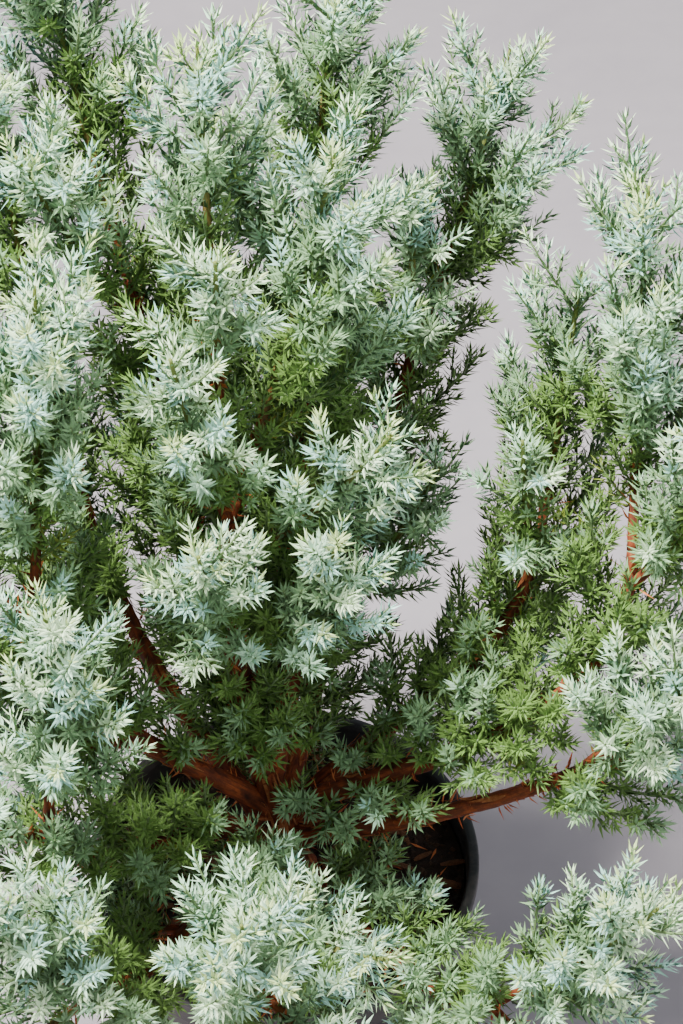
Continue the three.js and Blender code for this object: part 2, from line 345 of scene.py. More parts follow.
@dataclass
class Shoot:
    """A stem, shoot or twig. age: how old its own tip is, as millimetres of growth behind a young tip.
    cover: how much older and darker its colour is for the growth over it, partly as painted shade."""

    curve: Curve
    length: float
    points: np.ndarray
    bare: float = 0
    age: float = 0
    girths: tuple = (0.6, 0.35)
    cover: float = 0


def draws(seed):
    """Seeded draws from 0 to 1, the same as the solids were made with."""
    whole = 0xFFFFFFFF
    state = seed
    while True:
        state = (state + 0x6D2B79F5) & whole
        bits = ((state ^ (state >> 15)) * (1 | state)) & whole
        bits = ((bits + (bits ^ (bits >> 7)) * (61 | bits)) & whole) ^ bits
        yield (bits ^ (bits >> 14)) / 2**32


def trunk_curve():
    foot = np.array([0, 0, COMPOST_TOP + CLEAR])
    return Curve(foot, foot + UP * TRUNK_HEIGHT / 2, (*TRUNK_LEAN, COMPOST_TOP + TRUNK_HEIGHT))


def trunk_radius(share):
    flare = (TRUNK_FLARE - TRUNK_FOOT) * np.exp(-share * TRUNK_HEIGHT / TRUNK_FLARE_FALL)
    return mix(TRUNK_FOOT, TRUNK_TIP, share) + flare


def limb_of(name, trunk):
    parting, leave, (azimuth, reach, rise), face, _, _ = BOUGHS[name]
    if parting >= TRUNK_HEIGHT:
        first = trunk.way(1)
        start = trunk.at(1) + first * CLEAR
    else:
        first = heading(*leave)
        start = trunk.at(parting / TRUNK_HEIGHT)
    end = heading(azimuth, 0) * reach + UP * (COMPOST_TOP + rise)
    span = np.linalg.norm(end - start)
    hold = start + first * span * LIMB_HOLD
    ease = end - heading(*face) * span * LIMB_EASE
    curve = Curve(start, hold, ease, end)
    return Limb(name, curve, curve.stops(LIMB_POINTS))


def gaps(points, others):
    """Distance from each point to the nearest of the others."""
    return np.linalg.norm(points[:, None] - others[None], axis=2).min(axis=1)


def mass_at(name, limb, curve, length):
    return Mass(name, limb, curve, length, curve.stops(STEM_POINTS))


def plume_of(limb):
    plume = BOUGHS[limb.name][4]
    way = limb.curve.way(1)
    foot = limb.curve.at(1) + way * CLEAR
    return mass_at(f"{limb.name}_tip", limb, bowed(foot, way, plume, PLUME_UP), plume)


def side_of(limb, share, name, taken):
    """A mass beside a bough, turned to where it has most room and shortened until it has enough."""
    foot, axis = limb.curve.at(share), limb.curve.way(share)
    ways = [tilted(axis, SIDE_SLOPE, turn) for turn in SIDE_TURNS]
    ways = [way for way in ways if way[2] > SIDE_LOWEST]

    def room(way, length):
        return gaps(bowed(foot, way, length, SIDE_UP).at(TESTED), taken).min()

    length = BOUGHS[limb.name][4] * SIDE_LENGTH
    way = max(ways, key=lambda tried: room(tried, length))
    while length > SIDE_SHORTEST and room(way, length) < SIDE_ROOM:
        length *= SIDE_SHRINK
    if length <= SIDE_SHORTEST:
        return None
    return mass_at(name, limb, bowed(foot, way, length, SIDE_UP), length)


def all_masses(limbs):
    masses = [plume_of(limb) for limb in limbs]
    for k in range(SIDE_MOST):
        for limb in limbs:
            sides = BOUGHS[limb.name][5]
            if k >= sides:
                continue
            taken = [other.points for other in limbs if other is not limb]
            taken += [mass.points for mass in masses]
            share = mix(*SIDE_SHARES, k / max(1, sides - 1))
            side = side_of(limb, share, f"{limb.name}_{k + 1}", np.concatenate(taken))
            if side:
                masses.append(side)
    return masses


def keeps_to_space(curve, length, mass, kept, others, limbs):
    tried = curve.at(TESTED)
    own = gaps(tried, mass.points)
    if own[-1] < STAND * length:
        return False
    if kept and (gaps(tried, np.concatenate([shoot.points for shoot in kept])) < APART).any():
        return False
    if (gaps(tried, others) < own + MARGIN).any():
        return False
    return (gaps(tried, limbs) >= LIMB_ROOT + GIRTH).all()


def shoots_of(mass, seed, others, limbs):
    """Shoots of a mass, set out by the golden angle. One with no room is turned, shortened or left out."""
    draw = draws(seed)
    count = math.floor(mass.length / SHOOT_SPACING + 0.5)
    kept = []
    for k in range(count):
        share = mix(*SHOOT_SHARES, (k + 0.5) / count)
        turn = GOLDEN * k + WILD_TURN * (next(draw) - 0.5)
        slope = mix(*SHOOT_SLOPES, share) + WILD_SLOPE * (next(draw) - 0.5)
        wild = 1 + WILD_LENGTH * (next(draw) - 0.5)
        full = mass.length * SHOOT_LENGTH * (1 - SHOOT_TAPER * share) * wild
        start, axis = mass.curve.at(share), mass.curve.way(share)
        tries = [(tilted(axis, slope, turn + nudge), full * cut) for nudge in NUDGES for cut in CUTS]
        for way, length in tries:
            curve = bowed(start, way, length, SHOOT_UP)
            if length >= SHORTEST and keeps_to_space(curve, length, mass, kept, others, limbs):
                kept.append(Shoot(curve, length, curve.at(TESTED)))
                break
    return kept


# Finer growth


class Taken:
    """Places that growth already runs through, in the cells of a grid, so that new growth keeps off them."""

    def __init__(self):
        self.cells = {}

    def add(self, points):
        for point, cell in zip(points, np.floor(points / CELL).astype(int)):
            self.cells.setdefault(tuple(cell), []).append(point)

    def leaves(self, points, room):
        """Whether each of some points has so much room round it."""
        for point, (x, y, z) in zip(points, np.floor(points / CELL).astype(int)):
            around = product(range(x - 1, x + 2), range(y - 1, y + 2), range(z - 1, z + 2))
            near = [place for cell in around for place in self.cells.get(cell, ())]
            if near and (np.linalg.norm(np.array(near) - point, axis=1) < room).any():
                return False
        return True


@dataclass
class Kind:
    """A kind of fine growth: how often it is tried, its shares, slopes and lengths, and the room it needs."""

    spacing: float
    shares: tuple
    slopes: tuple
    lengths: tuple
    room: float
    girths: tuple
    tested: tuple = TESTED


def grow(parent, kind, rng, taken, fits, depth=0.6):
    """Growth of one kind along a parent by the golden angle, where it fits. It takes the places it fills.
    depth: how much of its distance behind the parent's tip counts as age."""
    first, last = kind.shares
    count = max(1, round(parent.length * (last - first) / kind.spacing))
    start_turn = rng.uniform(0, 360)
    grown = []
    for k in range(count):
        share = mix(first, last, (k + rng.uniform(0.1, 0.9)) / count)
        slope = mix(*kind.slopes, share) + rng.uniform(-SLOPE_STRAY, SLOPE_STRAY)
        way = tilted(parent.curve.way(share), slope, start_turn + GOLDEN * k)
        length = mix(*kind.lengths, share) * (1 + FINE_WILD * rng.uniform(-0.5, 0.5))
        curve = bowed(parent.curve.at(share), way, length, TWIG_UP)
        tried = curve.at(kind.tested)
        if fits(tried) and taken.leaves(tried, kind.room):
            age = parent.age + max(0, depth * (parent.length * (1 - share) - length))
            points = curve.at(TESTED)
            taken.add(points)
            grown.append(Shoot(curve, length, points, age=age, girths=kind.girths))
    return grown


def fill_kind(mass):
    """Shoots between those of the solids, closer and more upright."""
    full = mass.length * SHOOT_LENGTH
    low, high = FILL_LENGTHS
    lengths = (full * (low + high) / 2, full * (1 - SHOOT_TAPER) * (low + high) / 2)
    return Kind(FILL_SPACING, SHOOT_SHARES, FILL_SLOPES, lengths, FILL_ROOM, FILL_GIRTHS)


SPUR = Kind(SPUR_SPACING, SPUR_SHARES, TWIG_SLOPES, (SPUR_LENGTH,) * 2, SPUR_ROOM, SPUR_GIRTHS, (0.8, 1))


def twigs_of(parent, lengths, spacing, shares, rng, taken, fits):
    """Twigs of a stem or shoot, and the spurs of the longer ones."""
    kind = Kind(spacing, shares, TWIG_SLOPES, lengths, TWIG_ROOM, TWIG_GIRTHS, (0.7, 1))
    twigs = grow(parent, kind, rng, taken, fits)
    spurs = []
    for twig in twigs:
        if twig.length > SPUR_FROM:
            spurs += grow(twig, SPUR, rng, taken, fits)
    return twigs + spurs


def finer_growth(mass, stem, shoots, others, limbs, taken, rng):
    """All that grows on a mass's stem and shoots between what the solids have."""

    def fits(tried):
        is_astray = (gaps(tried, others) < gaps(tried, mass.points)).any()
        return not is_astray and (gaps(tried, limbs) > LIMB_ROOT + LIMB_ROOM).all()

    shoots = shoots + grow(stem, fill_kind(mass), rng, taken, fits, FILL_DEPTH)
    twigs = twigs_of(stem, STEM_TWIG_LENGTHS, STEM_TWIG_SPACING, STEM_TWIG_SHARES, rng, taken, fits)
    for shoot in shoots:
        lengths = [length * (0.55 + 0.45 * shoot.length / LONG_SHOOT) for length in TWIG_LENGTHS]
        twigs += twigs_of(shoot, lengths, TWIG_SPACING, TWIG_SHARES, rng, taken, fits)
    return [stem, *shoots, *twigs]


def growth_on_limb(limb, limbs, taken, rng):
    """Rising shoots and their twigs along a bough, under and between the masses."""
    parent = Shoot(limb.curve, limb.curve.length(), limb.points, age=BOUGH_SHOOT_AGE)
    elsewhere = np.concatenate([other.points for other in limbs if other is not limb])

    def fits(tried):
        is_high = tried[-1][2] > COMPOST_TOP + GROUND_ROOM
        return is_high and (gaps(tried, elsewhere) > LIMB_ROOT + OTHER_LIMB_ROOM).all()

    def rises(tried):
        return fits(tried) and tried[-1][2] > tried[0][2] + BOUGH_SHOOT_RISE

    first, last = BOUGH_SHOOT_SHARES
    kind = Kind(
        BOUGH_SHOOT_SPACING,
        (BARE_BOUGHS.get(limb.name, first), last),
        BOUGH_SLOPES,
        BOUGH_SHOOT_LENGTHS,
        BOUGH_SHOOT_ROOM,
        BOUGH_SHOOT_GIRTHS,
    )
    shoots = grow(parent, kind, rng, taken, rises, 0)
    twigs = []
    for shoot in shoots:
        shoot.age += rng.uniform(*BOUGH_SHOOT_AGES)
        twigs += twigs_of(shoot, BOUGH_TWIG_LENGTHS, TWIG_SPACING, TWIG_SHARES, rng, taken, fits)
    return shoots + twigs


def cover_shoots(shoots):
    """Gives each shoot its cover by how many others' tips stand over it, upwards and outwards."""
    tips = np.array([shoot.points[-1] for shoot in shoots])
    outward = tips * (1, 1, 0)
    outward /= np.maximum(np.linalg.norm(outward, axis=1), COVER_CORE)[:, None]
    for shoot, tip, lean in zip(shoots, tips, outward):
        way = unit(UP + COVER_LEAN * lean)
        apart = tips - tip
        above = apart @ way
        aside = np.linalg.norm(apart - above[:, None] * way, axis=1)
        cover = ((above > COVER_FROM) & (above < COVER_TO) & (aside < COVER_WIDTH)).sum()
        # Painted shade in part: the more tips stand over a shoot, the older and darker its colour
        shoot.cover = COVER_AGE_AND_SHADE * min(1, cover / COVER_FULL)


def growth_by_limb(masses, limbs):
    """Every shoot and twig of the plant, by the name of its bough."""
    limb_points = np.concatenate([limb.points for limb in limbs])
    taken = Taken()
    settled = []
    for index, mass in enumerate(masses):
        others = np.concatenate([other.points for other in masses if other is not mass])
        stem = Shoot(mass.curve, mass.length, mass.points, bare=STEM_BARE * mass.length, girths=STEM_GIRTHS)
        shoots = shoots_of(mass, SEED + index, others, limb_points)
        for shoot in shoots:
            shoot.girths = SHOOT_GIRTHS
            shoot.age = SHOOT_AGEING * np.linalg.norm(shoot.points[0] - mass.points[-1])
            taken.add(shoot.points)
        taken.add(mass.points)
        settled.append((mass, stem, shoots, others))
    growth = {limb.name: [] for limb in limbs}
    for index, (mass, stem, shoots, others) in enumerate(settled):
        rng = np.random.default_rng(SEED + index)
        growth[mass.limb.name] += finer_growth(mass, stem, shoots, others, limb_points, taken, rng)
    for index, limb in enumerate(limbs):
        rng = np.random.default_rng(SEED + 100 + index)
        growth[limb.name] += growth_on_limb(limb, limbs, taken, rng)
    cover_shoots([shoot for shoots in growth.values() for shoot in shoots])
    return growth


# Needles

# A needle's corners: across in half widths, on in lengths, and up in half widths. Its upper side is creased
# along its middle, and its lower side across its widest place.
NEEDLE_CORNERS = np.array([
    [0, 0, 0],
    [-1, 0.3, -0.5],
    [1, 0.3, -0.5],
    [0, 1, 0.1],
])
ROOT, LEFT, RIGHT, TIP = range(4)
UPPER_FACES = [(ROOT, RIGHT, TIP), (ROOT, TIP, LEFT)]
LOWER_FACES = [(ROOT, LEFT, RIGHT), (LEFT, TIP, RIGHT)]
NEEDLE_FACES = np.array(UPPER_FACES + LOWER_FACES)
NEEDLE_SIDES = np.array([0, 0, 1, 1])


@dataclass
class Needles:
    """Needles by their feet, directions, upper sides, lengths, half widths and shades."""

    feet: np.ndarray
    ways: np.ndarray
    uppers: np.ndarray
    lengths: np.ndarray
    halves: np.ndarray
    shades: np.ndarray


NEEDLE_FIELDS = tuple(Needles.__annotations__)


def joined(groups):
    return Needles(*(np.concatenate([getattr(group, field) for group in groups]) for field in NEEDLE_FIELDS))


def leaning(axes, out, spread):
    """Directions that lean out from axes by a spread in degrees, and the upper sides of needles there."""
    spread = np.radians(spread)[:, None]
    return axes * np.cos(spread) + out * np.sin(spread), axes * np.sin(spread) - out * np.cos(spread)


def whorls_back(length):
    """Distances of a shoot's whorls back from its tip, closer together near it."""
    back = TIP_GAP / 2
    stops = []
    while back < length:
        stops.append(back)
        back += mix(WHORL_GAP, TIP_GAP, math.exp(-back / TIP_REACH))
    return np.array(stops)


def needles_on(shoot, rng):
    """Whorls of three needles along a shoot, turned by a sixth from one to the next."""
    back = whorls_back(shoot.length - shoot.bare)
    count = len(back)
    share = np.repeat(1 - back / shoot.length, 3)
    back = np.repeat(back, 3)
    age = back + shoot.age
    turns = rng.uniform(0, 360) + np.tile([0, 120, 240], count) + np.repeat(np.arange(count) * 60, 3)
    turns = turns + rng.uniform(-TURN_STRAY, TURN_STRAY, 3 * count)
    feet, axes = shoot.curve.at(share), shoot.curve.way(share)
    spread = mix(SPREAD, TIP_SPREAD, np.exp(-back / SPREAD_REACH))
    spread = spread + rng.uniform(-SPREAD_STRAY, SPREAD_STRAY, 3 * count)
    out = square(axes, turns)
    ways, uppers = leaning(axes, out, spread)
    size = (1 - TIP_SHORTER * np.exp(-back / TIP_SHORTER_REACH)) * rng.uniform(*NEEDLE_SIZES, 3 * count)
    size = size * (1 - OLD_SHORTER * np.clip((age - SHORTER_AGE) / SHORTER_SPAN, 0, 1))
    kept = rng.uniform(0, 1, 3 * count) > np.clip((age - DROP_AGE) / DROP_SPAN, 0, DROP_MOST)
    girth = mix(*shoot.girths, share)
    feet = feet + out * (0.6 * girth)[:, None]
    # A shoot's cover darkens its needles' colour, partly as painted shade
    found = Needles(
        feet,
        ways,
        uppers,
        NEEDLE_LENGTH * size,
        NEEDLE_HALF_WIDTH * size ** 0.5,
        np.repeat(shade_of(age[::3] + shoot.cover, rng), 3),
    )
    return Needles(*(getattr(found, field)[kept] for field in NEEDLE_FIELDS))


def needle_mesh(needles):
    """Corners, faces and the side of the needle that each face lies on."""
    across = np.cross(needles.ways, needles.uppers)
    corners = NEEDLE_CORNERS
    halves, lengths = needles.halves[:, None, None], needles.lengths[:, None, None]
    points = needles.feet[:, None] + across[:, None] * corners[None, :, :1] * halves
    points = points + needles.ways[:, None] * corners[None, :, 1:2] * lengths
    points = points + needles.uppers[:, None] * corners[None, :, 2:] * halves
    count = len(needles.feet)
    faces = NEEDLE_FACES[None] + np.arange(count)[:, None, None] * len(corners)
    sides = np.tile(NEEDLE_SIDES, count)
    return points.reshape(-1, 3), faces.reshape(-1, 3), sides


# Shades, from the youngest growth to the oldest: fresh, three of silver, sage, green, olive
FRESH, SILVER, BLUE, PALE, SAGE, GREEN, OLIVE = range(7)
FRESH_AGE = 4.5
OLDER_SHADES = [(27, SAGE), (54, GREEN), (100, OLIVE)]
BROWN_AGE = 96
AGE_STRAY = 16


def shade_of(age, rng):
    """The shade of each whorl of a shoot, by its age, with one draw for the whole shoot."""
    luck = rng.uniform(0, 1)
    aged = age + AGE_STRAY * (luck - 0.5)
    main = (SILVER, BLUE, PALE, SILVER, PALE)[int(luck * 5)]
    shade = np.full(len(age), main)
    shade[aged < FRESH_AGE] = FRESH
    for start, older in OLDER_SHADES:
        shade[aged > start] = older
    return shade


# Meshes


def in_scene(name, data):
    """A new object in the scene, of a mesh, a light or a camera."""
    made = bpy.data.objects.new(name, data)
    bpy.context.scene.collection.objects.link(made)
    return made


def piece(name, points, faces, materials, slots=None, smooth=False):
    """A mesh object from points in millimetres."""
    mesh = bpy.data.meshes.new(name)
    mesh.from_pydata(np.asarray(points) * MM, [], faces)
    for material in materials:
        mesh.materials.append(material)
    if slots is not None:
        mesh.polygons.foreach_set("material_index", np.asarray(slots, np.int32))
    if smooth:
        mesh.shade_smooth()
    return in_scene(name, mesh)


def dress(made, slot, *nodes):
    """Gives a piece its body and hides the nodes that it replaces, if any; its slot is not used."""
    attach(made, "root")
    if nodes:
        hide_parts(*nodes)
    return made


def note(made, name, values):
    """Stores a number or a vector for each point of a mesh."""
    values = np.asarray(values, np.float32)
    is_vector = values.ndim == 2
    kind, field = ("FLOAT_VECTOR", "vector") if is_vector else ("FLOAT", "value")
    attribute = made.data.attributes.new(name, kind, "POINT")
    attribute.data.foreach_set(field, values.ravel())


def frames_along(points):
    """For each ring of a tube, the unit vectors across and beside its way, with no needless twist."""
    ways = unit(np.gradient(points, axis=0))
    across = square(ways[0], 0.0)
    turned = []
    for way in ways:
        across = unit(across - way * across.dot(way))
        turned.append(across)
    across = np.array(turned)
    return across, np.cross(ways, across)


def tube_faces(rings, sides):
    """Triangles of a tube whose points run ring by ring, closed at both ends."""
    ring, side = np.meshgrid(np.arange(rings - 1), np.arange(sides), indexing="ij")
    a = (ring * sides + side).ravel()
    b = (ring * sides + (side + 1) % sides).ravel()
    walls = np.concatenate([np.stack([a, b, b + sides], 1), np.stack([a, b + sides, a + sides], 1)])
    edge = np.arange(1, sides - 1)
    end = (rings - 1) * sides
    foot = np.stack([np.zeros_like(edge), edge + 1, edge], 1)
    head = end + np.stack([np.zeros_like(edge), edge, edge + 1], 1)
    return np.concatenate([walls, foot, head])


def tube(curve, radii, sides, rings):
    """Points of a tube along a curve. radii: one for each ring, or for each ring and side."""
    centres = curve.stops(rings - 1)
    across, beside = frames_along(centres)
    angles = np.linspace(0, 2 * math.pi, sides, endpoint=False)
    radii = np.broadcast_to(np.asarray(radii, float).reshape(rings, -1), (rings, sides))
    out = across[:, None] * np.cos(angles)[:, None] + beside[:, None] * np.sin(angles)[:, None]
    return (centres[:, None] + out * radii[:, :, None]).reshape(-1, 3)


class Build:
    """Gathers points, faces, slots and notes of many small bodies into one mesh."""

    def __init__(self):
        self.points, self.faces, self.slots, self.notes = [], [], [], {}
        self.count = 0

    def add(self, points, faces, slot=0, **notes):
        self.points.append(points)
        self.faces.append(np.asarray(faces) + self.count)
        self.slots.append(np.full(len(faces), slot))
        for name, values in notes.items():
            self.notes.setdefault(name, []).append(values)
        self.count += len(points)

    def made(self, name, materials, smooth=False):
        faces = np.concatenate(self.faces)
        slots = np.concatenate(self.slots)
        made = piece(name, np.concatenate(self.points), faces, materials, slots, smooth)
        for name, values in self.notes.items():
            note(made, name, np.concatenate(values))
        return made


# Materials


def srgb(red, green, blue, alpha=1.0):
    """A colour given in the 0 to 255 of a picture, as the linear one that shaders take."""
    def linear(value):
        value = value / 255
        return value / 12.92 if value <= 0.04045 else ((value + 0.055) / 1.055) ** 2.4

    return (linear(red), linear(green), linear(blue), alpha)


SOCKET_KINDS = {float: "NodeSocketFloat", tuple: "NodeSocketColor"}


def new_group(name, inputs, outputs):
    """A shader node group and its two end nodes. Its inputs are given with their defaults, None being for
    coordinates, and its outputs with their kinds of socket."""
    tree = bpy.data.node_groups.new(name, "ShaderNodeTree")
    for socket, value in inputs.items():
        kind = SOCKET_KINDS.get(type(value), "NodeSocketVector")
        made = tree.interface.new_socket(socket, in_out="INPUT", socket_type=kind)
        if value is not None:
            made.default_value = value
    for socket, kind in outputs.items():
        tree.interface.new_socket(socket, in_out="OUTPUT", socket_type=kind)
    return tree, tree.nodes.new("NodeGroupInput"), tree.nodes.new("NodeGroupOutput")


def feed(tree, node, inputs):
    """Gives a node its inputs, each a plain value or another node's output."""
    for key, value in inputs.items():
        if isinstance(value, bpy.types.NodeSocket):
            tree.links.new(value, node.inputs[key])
        else:
            node.inputs[key].default_value = value
    return node


def add(tree, kind, inputs=None, **settings):
    node = tree.nodes.new(kind)
    for key, value in settings.items():
        setattr(node, key, value)
    return feed(tree, node, inputs or {})


def place_group(tree, group, inputs):
    return add(tree, "ShaderNodeGroup", inputs, node_tree=group)


def object_places(tree):
    """Coordinates in metres from the object's origin."""
    return add(tree, "ShaderNodeTexCoord").outputs["Object"]


def noise_over(tree, places, scale, detail, roughness=0.5, distortion=0.0):
    """A noise pattern over some coordinates, from 0 to 1."""
    return add(tree, "ShaderNodeTexNoise", {
        "Vector": places,
        "Scale": scale,
        "Detail": detail,
        "Roughness": roughness,
        "Distortion": distortion,
    }).outputs["Fac"]


def spread_out(tree, value, low, high, least=0.0):
    """A share that rises from its least to 1 as a value goes from low to high."""
    return add(tree, "ShaderNodeMapRange", {
        "Value": value,
        "From Min": low,
        "From Max": high,
        "To Min": least,
    }).outputs[0]


def times(tree, first, second):
    return add(tree, "ShaderNodeMath", {0: first, 1: second}, operation="MULTIPLY").outputs[0]


# The mix node has several sockets of each name, so they are picked by number


def blend(tree, share, first, second):
    return add(tree, "ShaderNodeMix", {0: share, 2: first, 3: second}).outputs[0]


def blend_colours(tree, share, first, second):
    return add(tree, "ShaderNodeMix", {0: share, 6: first, 7: second}, data_type="RGBA").outputs[2]


def bump(tree, height, strength, distance):
    """A normal bent by a height. distance: how deep the height goes, in metres."""
    inputs = {"Height": height, "Strength": strength, "Distance": distance}
    return add(tree, "ShaderNodeBump", inputs).outputs[0]


def mottle_group():
    """Colour that wanders between two shades at a coarse and a fine scale, with a matching height."""
    tree, start, end = new_group("mottle", {
        "Coordinates": None,
        "Scale": 100.0,
        "Fine Share": 0.4,
        "Dark": (0.1, 0.1, 0.1, 1),
        "Light": (0.2, 0.2, 0.2, 1),
    }, {"Colour": "NodeSocketColor", "Height": "NodeSocketFloat"})
    places, scale = start.outputs["Coordinates"], start.outputs["Scale"]
    coarse = noise_over(tree, places, scale, 3.0)
    fine = noise_over(tree, places, times(tree, scale, 7.0), 4.0)
    height = spread_out(tree, blend(tree, start.outputs["Fine Share"], coarse, fine), 0.34, 0.66)
    feed(tree, end, {
        "Colour": blend_colours(tree, height, start.outputs["Dark"], start.outputs["Light"]),
        "Height": height,
    })
    return tree


def dust_group():
    """Dust over a colour, in patches and thicker on what faces up. It also dulls the gloss."""
    tree, start, end = new_group("dust", {
        "Colour": (0.1, 0.1, 0.1, 1),
        "Roughness": 0.4,
        "Dust Colour": (0.3, 0.25, 0.2, 1),
        "Amount": 0.5,
        "Patch Scale": 60.0,
    }, {"Colour": "NodeSocketColor", "Roughness": "NodeSocketFloat"})
    patches = noise_over(tree, object_places(tree), start.outputs["Patch Scale"], 6.0, 0.65)
    facing = add(tree, "ShaderNodeNewGeometry").outputs["Normal"]
    up = add(tree, "ShaderNodeSeparateXYZ", {0: facing}).outputs["Z"]
    lying = spread_out(tree, up, -0.2, 0.9, 0.35)
    share = times(tree, times(tree, spread_out(tree, patches, 0.42, 0.68), lying), start.outputs["Amount"])
    feed(tree, end, {
        "Colour": blend_colours(tree, share, start.outputs["Colour"], start.outputs["Dust Colour"]),
        "Roughness": blend(tree, share, start.outputs["Roughness"], 0.95),
    })
    return tree


def fibre_group():
    """Streaks drawn out along the third of three coordinates, as a shade from 0 to 1 and a height."""
    tree, start, end = new_group("fibre", {
        "Coordinates": None,
        "Scale": 1.0,
        "Stretch": 0.12,
    }, {"Shade": "NodeSocketFloat", "Height": "NodeSocketFloat"})
    stretch = add(tree, "ShaderNodeCombineXYZ", {0: 1.0, 1: 1.0, 2: start.outputs["Stretch"]})
    drawn = add(tree, "ShaderNodeVectorMath", {
        0: start.outputs["Coordinates"],
        1: stretch.outputs[0],
    }, operation="MULTIPLY")
    streaks = noise_over(tree, drawn.outputs[0], start.outputs["Scale"], 5.0, 0.7, 0.4)
    feed(tree, end, {"Shade": spread_out(tree, streaks, 0.3, 0.7), "Height": streaks})
    return tree


MOTTLE = mottle_group()
DUST = dust_group()
FIBRE = fibre_group()


def new_material(name):
    """An empty material with its Principled shader."""
    material = bpy.data.materials.new(name)
    material.use_nodes = True
    return material, material.node_tree, material.node_tree.nodes["Principled BSDF"]


def mottle_over(tree, places, scale, dark, light, fine_share=0.4):
    return place_group(tree, MOTTLE, {
        "Coordinates": places,
        "Scale": scale,
        "Fine Share": fine_share,
        "Dark": dark,
        "Light": light,
    })


def plain_material(name, colour, roughness):
    """A material of one plain colour, for the needles and twigs, whose colours are dealt out by spray."""
    material, tree, shader = new_material(name)
    feed(tree, shader, {"Base Color": colour, "Roughness": roughness})
    return material


def mottled_material(name, scale, dark, light, roughness, fine_share=0.4, relief=0.0):
    """A dull material mottled between two shades. relief: how deep its mottling goes, in metres."""
    material, tree, shader = new_material(name)
    mottle = mottle_over(tree, object_places(tree), scale, dark, light, fine_share)
    feed(tree, shader, {"Base Color": mottle.outputs["Colour"], "Roughness": roughness})
    if relief:
        feed(tree, shader, {"Normal": bump(tree, mottle.outputs["Height"], 0.6, relief)})
    return material


def bark_material():
    """Papery bark: painted shade in its furrows, red-brown and orange strips, greener on young wood."""
    material, tree, shader = new_material("bark")
    grain = add(tree, "ShaderNodeAttribute", attribute_name="grain").outputs["Vector"]
    relief = add(tree, "ShaderNodeAttribute", attribute_name="relief").outputs["Fac"]
    youth = add(tree, "ShaderNodeAttribute", attribute_name="youth").outputs["Fac"]
    fibre = place_group(tree, FIBRE, {"Coordinates": grain, "Scale": 1.1})
    mottle = mottle_over(tree, grain, 0.16, srgb(134, 56, 24), srgb(206, 102, 46))
    # Painted shade: the bark's colour darkens where its relief sinks into furrows
    furrow_shade = spread_out(tree, relief, 0.15, 0.6)
    strips = blend_colours(tree, furrow_shade, srgb(52, 26, 16), mottle.outputs["Colour"])
    streaked = blend_colours(tree, fibre.outputs["Shade"], srgb(84, 40, 24), strips)
    feed(tree, shader, {
        "Base Color": blend_colours(tree, youth, streaked, srgb(118, 128, 62)),
        "Roughness": 0.8,
        "Normal": bump(tree, fibre.outputs["Height"], 0.7, 0.0004),
    })
    return material


def pot_material():
    """Thin black nursery plastic: faintly mottled, scuffed and dusty."""
    material, tree, shader = new_material("pot")
    places = object_places(tree)
    mottle = mottle_over(tree, places, 45.0, srgb(34, 35, 37), srgb(48, 49, 51))
    dust = place_group(tree, DUST, {
        "Colour": mottle.outputs["Colour"],
        "Roughness": 0.42,
        "Dust Colour": srgb(150, 138, 128),
        "Amount": 0.45,
        "Patch Scale": 38.0,
    })
    feed(tree, shader, {
        "Base Color": dust.outputs["Colour"],
        "Roughness": dust.outputs["Roughness"],
        "Normal": bump(tree, noise_over(tree, places, 1400.0, 2.0), 0.25, 0.0003),
    })
    return material


# Upper side and lower side of each shade of needle, in the order of the shades above. The whitish upper
# side and greener lower side are the needles' own, but the upper sides are also lightened as painted
# highlight and the lower sides darkened as painted shade
NEEDLE_COLOURS = [
    ("fresh", srgb(218, 240, 166), srgb(140, 172, 100)),
    ("silver", srgb(202, 242, 206), srgb(86, 122, 100)),
    ("blue", srgb(176, 224, 208), srgb(72, 110, 98)),
    ("pale", srgb(220, 248, 202), srgb(106, 142, 98)),
    ("sage", srgb(144, 180, 132), srgb(68, 100, 66)),
    ("green", srgb(114, 148, 72), srgb(62, 92, 40)),
    ("olive", srgb(134, 152, 58), srgb(84, 102, 36)),
]
TWIG_COLOURS = [
    ("twig_green", srgb(118, 142, 92), 0.6),
    ("twig_brown", srgb(116, 66, 40), 0.75),
]
DRY_COLOURS = (srgb(216, 122, 66), srgb(176, 84, 42))
COMPOST_COLOURS = [
    ("compost_dark", srgb(30, 21, 15), srgb(58, 42, 30)),
    ("compost_brown", srgb(52, 36, 25), srgb(86, 62, 44)),
    ("compost_chips", srgb(78, 48, 30), srgb(134, 88, 56)),
]


def needle_materials():
    """For each shade its upper and lower material."""
    made = []
    for name, upper, lower in NEEDLE_COLOURS:
        made.append(plain_material(f"needle_{name}_upper", upper, 0.5))
        made.append(plain_material(f"needle_{name}_lower", lower, 0.45))
    return made


# Bark


def relief_at(grain, girth):
    """Height from 0 to 1 of the bark's strips at points given round and along a limb."""
    heights = []
    for x, y, z in grain:
        place = Vector((x, y, z * 0.14)) / girth
        wide = 1 - abs(noise.noise(place * 1.9)) * 2.6
        fine = noise.noise(Vector((x, y, z * 0.35)) * (2.2 / girth) + Vector((7, 3, 1)))
        knots = noise.noise(Vector((x, y, z)) * 0.22)
        heights.append(0.5 + 0.32 * (wide - 0.4) + 0.28 * fine + 0.2 * knots)
    return np.clip(heights, 0, 1)


